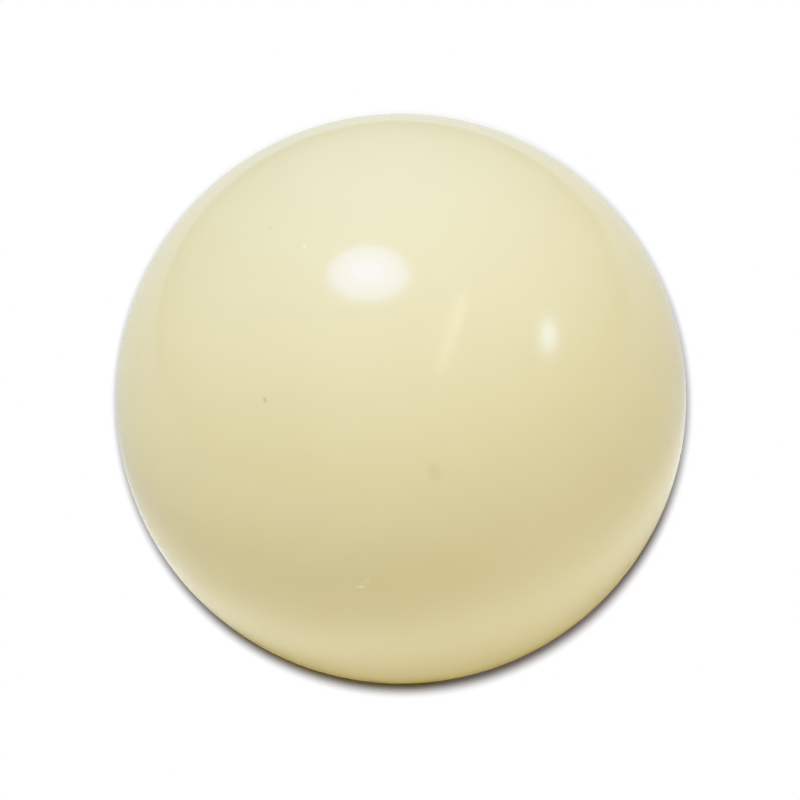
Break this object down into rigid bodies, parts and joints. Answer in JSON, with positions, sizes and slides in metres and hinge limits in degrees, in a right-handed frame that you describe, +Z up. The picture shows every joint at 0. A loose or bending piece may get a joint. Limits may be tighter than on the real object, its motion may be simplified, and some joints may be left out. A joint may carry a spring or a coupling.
{
  "type": "roulette ball",
  "caption": "Solid ivory-coloured resin ball with a polished surface, rolled round a roulette wheel's track until it drops into a pocket.",
  "frame": {"origin": "centre of the ball, which is also its centre of mass", "axes": "+Z up when the ball lies on a level surface; every axis through the centre is alike, so X and Y are free"},
  "size_m": [0.019, 0.019, 0.019],
  "materials": {
    "ivory_resin": "polished"
  },
  "bodies": {
    "root": {"ball": "ivory_resin"}
  },
  "joints": []
}
